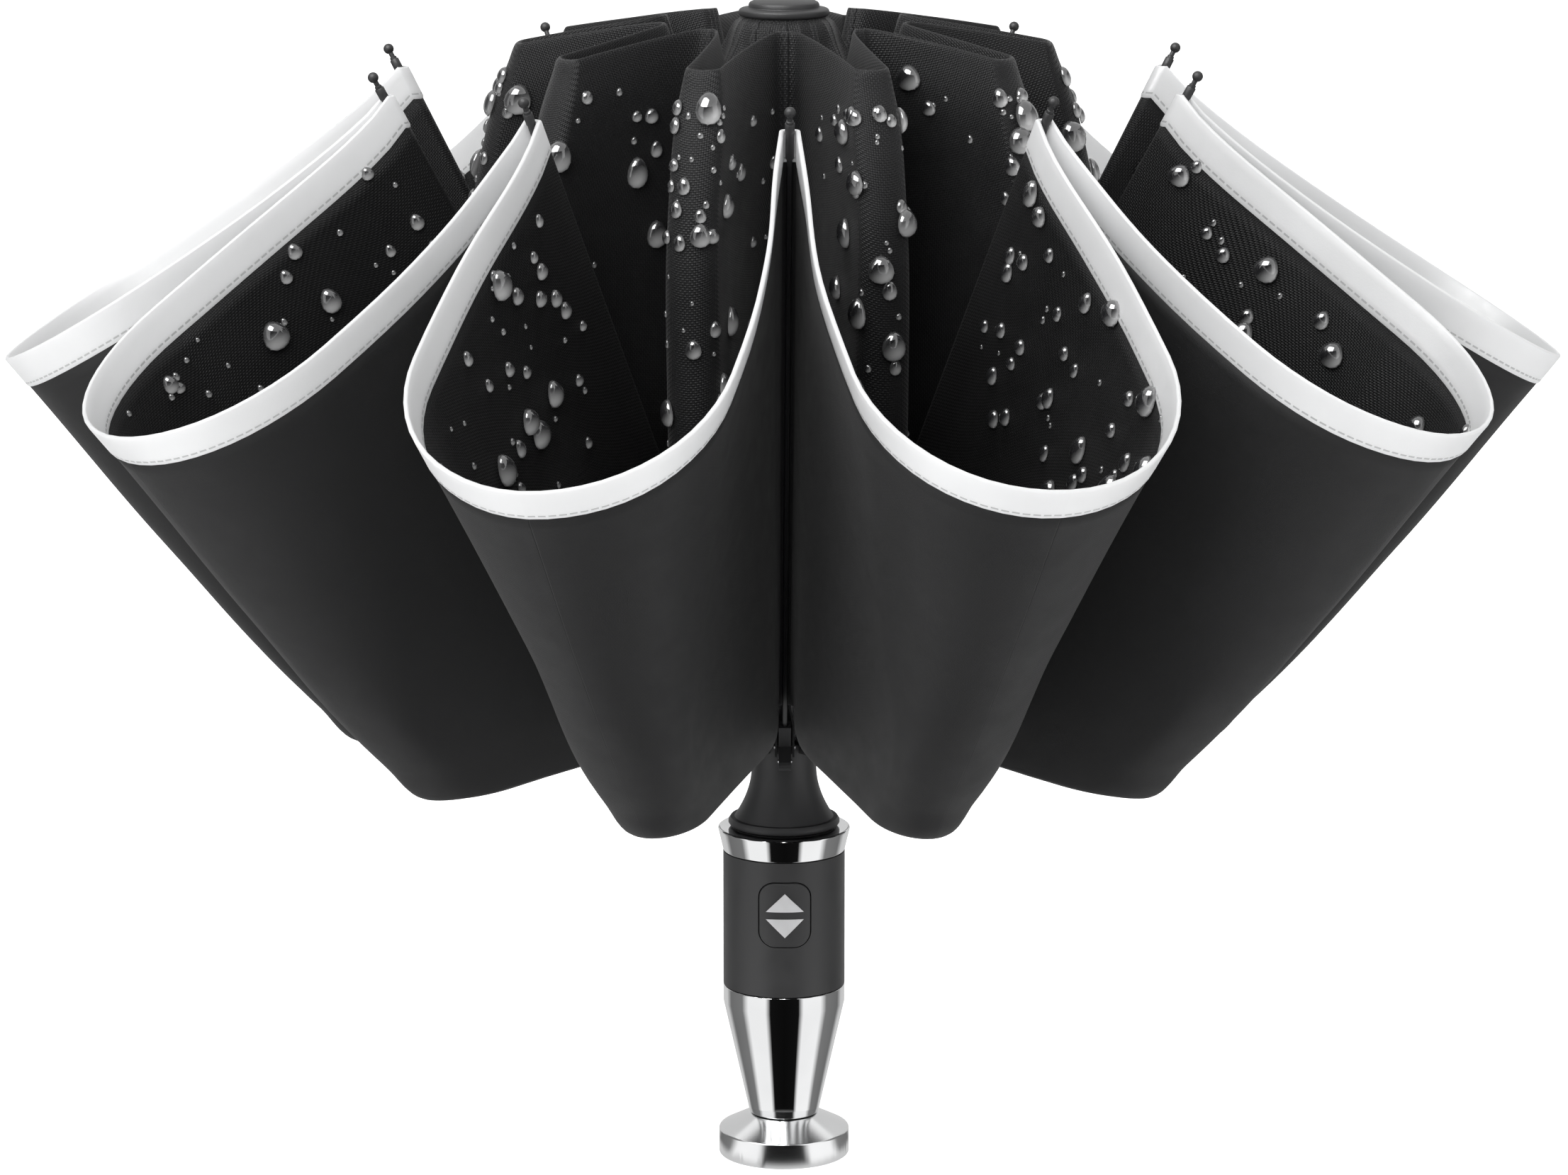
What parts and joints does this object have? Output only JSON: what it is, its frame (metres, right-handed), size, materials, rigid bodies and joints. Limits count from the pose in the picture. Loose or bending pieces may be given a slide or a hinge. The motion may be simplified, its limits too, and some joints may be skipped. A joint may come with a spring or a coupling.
{
  "type": "inverted umbrella",
  "caption": "Compact inverted umbrella with its shaft pushed in and its canopy folded up into petals round the shaft, with a waisted runner, a release button and a flared chrome pommel.",
  "frame": {"origin": "centre of the flat end of the pommel, on the shaft's axis", "axes": "Z along the shaft from the pommel to the cap, the release button faces -Y, X to the right of the button"},
  "size_m": [0.4704, 0.4498, 0.3615],
  "materials": {
    "chrome": "mirror chrome plate",
    "grip_rubber": "soft-touch matt black",
    "black_plastic": "satin moulded black",
    "black_steel": "black coated spring steel",
    "tube_steel": "plain steel",
    "satin_silver": "satin silver",
    "dry_cloth": "smooth matt charcoal side of the canopy cloth",
    "wet_cloth": "finely woven, slightly shiny rain side of the canopy cloth",
    "reflective_trim": "light silver reflective binding"
  },
  "bodies": {
    "handle": {"pommel": "chrome", "lower_handle": "chrome", "handle_core": "black_plastic", "grip_sleeve": "grip_rubber", "chrome_collar": "chrome", "outer_tube": "tube_steel", "button_spring": "tube_steel"},
    "button": {"button": "black_plastic", "arrow_up": "satin_silver", "arrow_down": "satin_silver"},
    "middle_shaft": {"middle_tube": "tube_steel"},
    "hub": {"inner_tube": "tube_steel", "runner": "black_plastic", "top_notch": "black_plastic", "top_cap": "black_plastic", "inner_ribs": "black_steel", "canopy_petals": "dry_cloth", "canopy_wall": "wet_cloth", "canopy_crown": "wet_cloth", "edge_trim": "reflective_trim", "mid_rib_0": "black_steel", "mid_rib_1": "black_steel", "mid_rib_2": "black_steel", "mid_rib_3": "black_steel", "mid_rib_4": "black_steel", "mid_rib_5": "black_steel", "mid_rib_6": "black_steel", "mid_rib_7": "black_steel", "mid_rib_8": "black_steel", "mid_rib_9": "black_steel"},
    "rib_0": {"outer_rib_0": "black_steel", "tip_0": "black_plastic", "rib_joint_0": "black_plastic"},
    "rib_1": {"outer_rib_1": "black_steel", "tip_1": "black_plastic", "rib_joint_1": "black_plastic"},
    "rib_2": {"outer_rib_2": "black_steel", "tip_2": "black_plastic", "rib_joint_2": "black_plastic"},
    "rib_3": {"outer_rib_3": "black_steel", "tip_3": "black_plastic", "rib_joint_3": "black_plastic"},
    "rib_4": {"outer_rib_4": "black_steel", "tip_4": "black_plastic", "rib_joint_4": "black_plastic"},
    "rib_5": {"outer_rib_5": "black_steel", "tip_5": "black_plastic", "rib_joint_5": "black_plastic"},
    "rib_6": {"outer_rib_6": "black_steel", "tip_6": "black_plastic", "rib_joint_6": "black_plastic"},
    "rib_7": {"outer_rib_7": "black_steel", "tip_7": "black_plastic", "rib_joint_7": "black_plastic"},
    "rib_8": {"outer_rib_8": "black_steel", "tip_8": "black_plastic", "rib_joint_8": "black_plastic"},
    "rib_9": {"outer_rib_9": "black_steel", "tip_9": "black_plastic", "rib_joint_9": "black_plastic"}
  },
  "joints": [
    {"name": "button_press", "type": "slide", "parent": "handle", "child": "button", "axis": [0, 1, 0], "range_m": [0, 0.0015], "stiffness_N_per_m": 1500, "springref_m": -0.001},
    {"name": "shaft_lower_slide", "type": "slide", "parent": "handle", "child": "middle_shaft", "axis": [0, 0, 1], "range_m": [0, 0.132]},
    {"name": "shaft_upper_slide", "type": "slide", "parent": "middle_shaft", "child": "hub", "axis": [0, 0, 1], "range_m": [0, 0.132]},
    {"name": "rib_fold_0", "type": "hinge", "parent": "hub", "child": "rib_0", "pos_m": [0, -0.015, 0.1355], "axis": [1, 0, 0], "range_deg": [-13, 30], "deforming": ["canopy_petals", "edge_trim"]},
    {"name": "rib_fold_1", "type": "hinge", "parent": "hub", "child": "rib_1", "pos_m": [0.00882, -0.01213, 0.1355], "axis": [0.809, 0.5878, 0], "range_deg": [-13, 30]},
    {"name": "rib_fold_2", "type": "hinge", "parent": "hub", "child": "rib_2", "pos_m": [0.01427, -0.00464, 0.1355], "axis": [0.309, 0.9511, 0], "range_deg": [-13, 30]},
    {"name": "rib_fold_3", "type": "hinge", "parent": "hub", "child": "rib_3", "pos_m": [0.01427, 0.00464, 0.1355], "axis": [-0.309, 0.9511, 0], "range_deg": [-13, 30]},
    {"name": "rib_fold_4", "type": "hinge", "parent": "hub", "child": "rib_4", "pos_m": [0.00882, 0.01213, 0.1355], "axis": [-0.809, 0.5878, 0], "range_deg": [-13, 30]},
    {"name": "rib_fold_5", "type": "hinge", "parent": "hub", "child": "rib_5", "pos_m": [0, 0.015, 0.1355], "axis": [-1, 0, 0], "range_deg": [-13, 30]},
    {"name": "rib_fold_6", "type": "hinge", "parent": "hub", "child": "rib_6", "pos_m": [-0.00882, 0.01213, 0.1355], "axis": [-0.809, -0.5878, 0], "range_deg": [-13, 30]},
    {"name": "rib_fold_7", "type": "hinge", "parent": "hub", "child": "rib_7", "pos_m": [-0.01427, 0.00464, 0.1355], "axis": [-0.309, -0.9511, 0], "range_deg": [-13, 30]},
    {"name": "rib_fold_8", "type": "hinge", "parent": "hub", "child": "rib_8", "pos_m": [-0.01427, -0.00464, 0.1355], "axis": [0.309, -0.9511, 0], "range_deg": [-13, 30]},
    {"name": "rib_fold_9", "type": "hinge", "parent": "hub", "child": "rib_9", "pos_m": [-0.00882, -0.01213, 0.1355], "axis": [0.809, -0.5878, 0], "range_deg": [-13, 30]}
  ],
  "couplings": [
    {"joint": "shaft_upper_slide", "follows": "shaft_lower_slide", "ratio": 1},
    {"joint": "rib_fold_1", "follows": "rib_fold_0", "ratio": 1},
    {"joint": "rib_fold_2", "follows": "rib_fold_0", "ratio": 1},
    {"joint": "rib_fold_3", "follows": "rib_fold_0", "ratio": 1},
    {"joint": "rib_fold_4", "follows": "rib_fold_0", "ratio": 1},
    {"joint": "rib_fold_5", "follows": "rib_fold_0", "ratio": 1},
    {"joint": "rib_fold_6", "follows": "rib_fold_0", "ratio": 1},
    {"joint": "rib_fold_7", "follows": "rib_fold_0", "ratio": 1},
    {"joint": "rib_fold_8", "follows": "rib_fold_0", "ratio": 1},
    {"joint": "rib_fold_9", "follows": "rib_fold_0", "ratio": 1}
  ]
}
